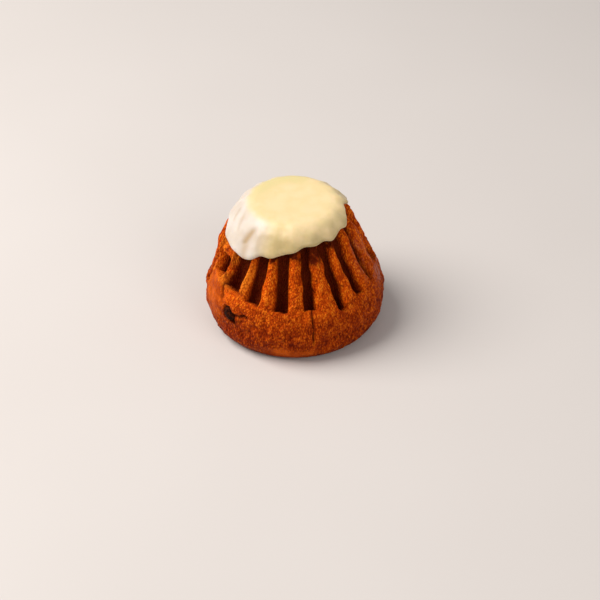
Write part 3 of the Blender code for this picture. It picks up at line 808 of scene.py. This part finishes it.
def icing_point(phase, share, outside, reach, path):
    """A point of the icing, and how white it is, how tan its creases are, partly thin and partly in painted
    shade, and how glassy it is. The share is -1 in the middle of the top, 0 where the icing starts to turn
    down and 1 at its edge."""
    lengths, radii, heights = path
    flute = round(phase)
    crest = 2 * abs(phase - flute)
    edge_length = reach - ICING_SCALLOP * (1 - 2 * ease(crest))
    rim_length = lengths[1] - ICING_TURN
    length = rim_length + share * (edge_length - rim_length) if share > 0 else rim_length * (1 + share)
    radius = np.interp(length, lengths, radii)
    height = np.interp(length, lengths, heights)
    azimuth = azimuth_of(phase, height)
    nearby = 0.8 * mm
    run = np.interp(length + nearby, lengths, radii) - np.interp(length - nearby, lengths, radii)
    rise = np.interp(length + nearby, lengths, heights) - np.interp(length - nearby, lengths, heights)
    slope = math.hypot(run, rise)
    outward, upward = -rise / slope, run / slope
    down_side = ease((length - rim_length) / ICING_FOLD_START)
    uneven = 1 + 0.7 * variation(flute % FLUTES, 3)
    fold = ICING_FOLD * uneven * (1 - ease(crest)) * down_side
    lift = ICING_GAP - fold
    thin_and_shaded = 0.0
    if outside:
        thickness = ICING_TOP + (ICING_SIDE - ICING_TOP) * ease((length - rim_length) / ICING_THINNING)
        at = around(azimuth, radius, height)
        thickness += sum(deep * rough(at, wide, long) for deep, wide, long in ICING_WAVES) * down_side
        thickness += ICING_SWELL * rough(at, ICING_SWELL_SIZE)
        for first, high, last, low, half_width, depth, tint in ICING_CREASES:
            down = (high - height) / (high - low)
            aside = apart(azimuth, first + down * (last - first)) * radius / half_width
            crease = math.exp(-aside * aside) * ease((down + 0.2) / 0.4) * ease((1.2 - down) / 0.4)
            thickness -= depth * crease
            thin_and_shaded = max(thin_and_shaded, tint * crease)
        bead = max(0.0, (share - 1 + ICING_BEAD) / ICING_BEAD)
        lift += thickness * math.sqrt(max(0.0, 1 - bead * bead * 0.9))
    white = ease((math.cos(azimuth - WHITE_AZIMUTH) - 0.15) / 0.4)
    white *= ease((length - WHITE_START) / WHITE_REACH)
    glassy = ease((math.cos(azimuth - GLASSY_AZIMUTH) - 0.35) / 0.5)
    glassy *= ease((length - GLASSY_START) / GLASSY_REACH) * (1 - ease((length - GLASSY_END) / GLASSY_FADE))
    radius += outward * lift - waist(azimuth, height)
    return around(azimuth, radius, height + upward * lift), (white, thin_and_shaded, glassy)


def icing_mesh():
    """The icing: down its outside to the edge, and back up its underside."""
    path = icing_path()
    outer = [-1 + step / ICING_TOP_ROWS for step in range(ICING_TOP_ROWS + 1)]
    outer += [step / ICING_SIDE_ROWS * (1 - ICING_BEAD) for step in range(1, ICING_SIDE_ROWS + 1)]
    turns = [math.sin(step / ICING_BEAD_ROWS * math.pi / 2) for step in range(1, ICING_BEAD_ROWS + 1)]
    outer += [1 - ICING_BEAD * (1 - turn) for turn in turns]
    inner = [1 - step / ICING_UNDER_ROWS for step in range(ICING_UNDER_ROWS + 1)]
    inner += ICING_UNDER_TOP
    rows = [(share, True) for share in outer] + [(share, False) for share in inner]
    reaches = {}
    mesh = turned_tube(len(rows), FLUTES * ICING_COLUMNS)
    layers = [mesh.verts.layers.float.new(name) for name in ("white", "thin_and_shaded", "glassy")]
    for vertex, phase, row in places_on(mesh, ICING_COLUMNS):
        if phase not in reaches:
            azimuth = azimuth_of(phase, RIM_HEIGHT)
            wobble = ICING_WOBBLE * noise.noise(Vector((phase * 2.2, 7, 0)))
            reaches[phase] = smooth_round(ICING_REACH, azimuth) * mm + wobble
        share, outside = rows[row]
        vertex.co, looks = icing_point(phase, share, outside, reaches[phase], path)
        for layer, value in zip(layers, looks):
            vertex[layer] = value
    return mesh


# The icing's linear colours, from its darkest to its lightest where there are two
ICING_YELLOW = ((0.81, 0.62, 0.325, 1), (0.87, 0.65, 0.37, 1))
# Down the sides a darker, deeper cream: painted shade under the lit top
ICING_SHADED_SIDES = ((0.53, 0.40, 0.185, 1), (0.64, 0.475, 0.24, 1))
ICING_WHITE = ((0.64, 0.54, 0.45, 1), (0.70, 0.61, 0.54, 1))
ICING_GLASSY = (0.74, 0.60, 0.29, 1)
ICING_THIN_AND_SHADED = (0.46, 0.31, 0.17, 1)
SHADED_SIDES_END = 51 * mm
YELLOW_START = 55 * mm


def icing_look():
    """Poured icing: pale yellow on top, a darker cream down the sides as painted shade, white on the left,
    tan in its creases, partly where thin and partly as painted shade.
    """
    look = Look(
        "poured_icing",
        Roughness=0.38,
        Specular_IOR_Level=0.3,
        Subsurface_Weight=0.3,
        Subsurface_Scale=3.0 * mm,
    )
    look.shader.inputs["Subsurface Radius"].default_value = (1.0, 0.7, 0.4)
    swirl = look.clouds(look.place, 130.0, 2.0, 0.5)
    blotches = look.spread(look.clouds(look.place, 210.0, 2.0, 0.5), 0.40, 0.62)
    on_top = look.spread(look.height(), SHADED_SIDES_END, YELLOW_START)
    # Darker cream down the sides as painted shade, pale yellow on top
    colour = look.mixed(on_top, look.mixed(blotches, *ICING_SHADED_SIDES), look.mixed(blotches, *ICING_YELLOW))
    colour = look.mixed(look.measured("glassy"), colour, ICING_GLASSY)
    white = look.mixed(look.spread(swirl, 0.38, 0.62), *ICING_WHITE)
    colour = look.mixed(look.measured("white"), colour, white)
    # Tan in the creases: partly crust showing through the thin icing, partly painted shade
    colour = look.mixed(look.measured("thin_and_shaded"), colour, ICING_THIN_AND_SHADED)
    look.feed(look.shader.inputs["Base Color"], colour)
    look.bump(swirl, 0.1, 0.3 * mm)
    return look.material


icing = finished("icing_cap", icing_mesh(), "root", icing_look())
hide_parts("icing")

# ---------------------------------------------------------------------------------------
# The camera: it looks down on the front of the cake through a long lens, from about two
# thirds of a metre away.
# ---------------------------------------------------------------------------------------
CAMERA_PITCH = 37.5 * degree
CAMERA_DISTANCE = 0.650
CAMERA_AIM = Vector((2.23 * mm, 6.3 * mm, 0))
# The lens's own sizes, in mm
FRAME_WIDTH = 36.0
FOCAL_LENGTH = 89.5

lens = bpy.data.cameras.new("camera")
lens.sensor_width = FRAME_WIDTH
lens.lens = FOCAL_LENGTH
lens.clip_start = 10 * mm
camera = bpy.data.objects.new("camera", lens)
towards_camera = Vector((0, -math.cos(CAMERA_PITCH), math.sin(CAMERA_PITCH)))
camera.location = CAMERA_AIM + towards_camera * CAMERA_DISTANCE
camera.rotation_euler = (math.pi / 2 - CAMERA_PITCH, 0, 0)
bpy.context.scene.collection.objects.link(camera)
bpy.context.scene.camera = camera

# ---------------------------------------------------------------------------------------
# The floor and the studio light: a pale matt sheet, one large soft light high on the left,
# a weaker one at the front right, and an even white sky that fills the shadows.
# ---------------------------------------------------------------------------------------
FLOOR_HALF_SIZE = 3.0
FLOOR_COLOURS = ((0.63, 0.58, 0.55, 1), (0.65, 0.60, 0.57, 1))
SKY_STRENGTH = 0.32
LIGHT_AIM = Vector((0, 0, 30 * mm))
# Name, place, width, power in watts, colour
LIGHTS = (
    ("key", (-0.70, 0.02, 0.90), 0.90, 16.0, (1.0, 0.98, 0.95)),
    ("fill", (0.70, -0.85, 0.78), 0.80, 4.0, (1.0, 0.99, 0.98)),
)


def floor_look():
    """A matt, faintly clouded off-white."""
    look = Look("pale_floor", Roughness=0.6, Specular_IOR_Level=0.2)
    faint = look.spread(look.clouds(look.place, 6.0, 2.0), 0.3, 0.7)
    look.feed(look.shader.inputs["Base Color"], look.mixed(faint, *FLOOR_COLOURS))
    return look.material


ground = bmesh.new()
bmesh.ops.create_grid(ground, x_segments=4, y_segments=4, size=FLOOR_HALF_SIZE)
floor_data = bpy.data.meshes.new("floor")
ground.to_mesh(floor_data)
ground.free()
floor_data.materials.append(floor_look())
floor = bpy.data.objects.new("floor", floor_data)
bpy.context.scene.collection.objects.link(floor)

for name, place, width, power, colour in LIGHTS:
    lamp = bpy.data.lights.new(name, "AREA")
    lamp.shape = "DISK"
    lamp.size = width
    lamp.energy = power
    lamp.color = colour
    light = bpy.data.objects.new(name, lamp)
    light.location = place
    light.rotation_euler = (LIGHT_AIM - Vector(place)).to_track_quat("-Z", "Y").to_euler()
    bpy.context.scene.collection.objects.link(light)

sky = bpy.data.worlds.new("studio")
sky.use_nodes = True
sky.node_tree.nodes["Background"].inputs["Color"].default_value = (1, 1, 1, 1)
sky.node_tree.nodes["Background"].inputs["Strength"].default_value = SKY_STRENGTH
bpy.context.scene.world = sky
bpy.context.scene.view_settings.view_transform = "Standard"
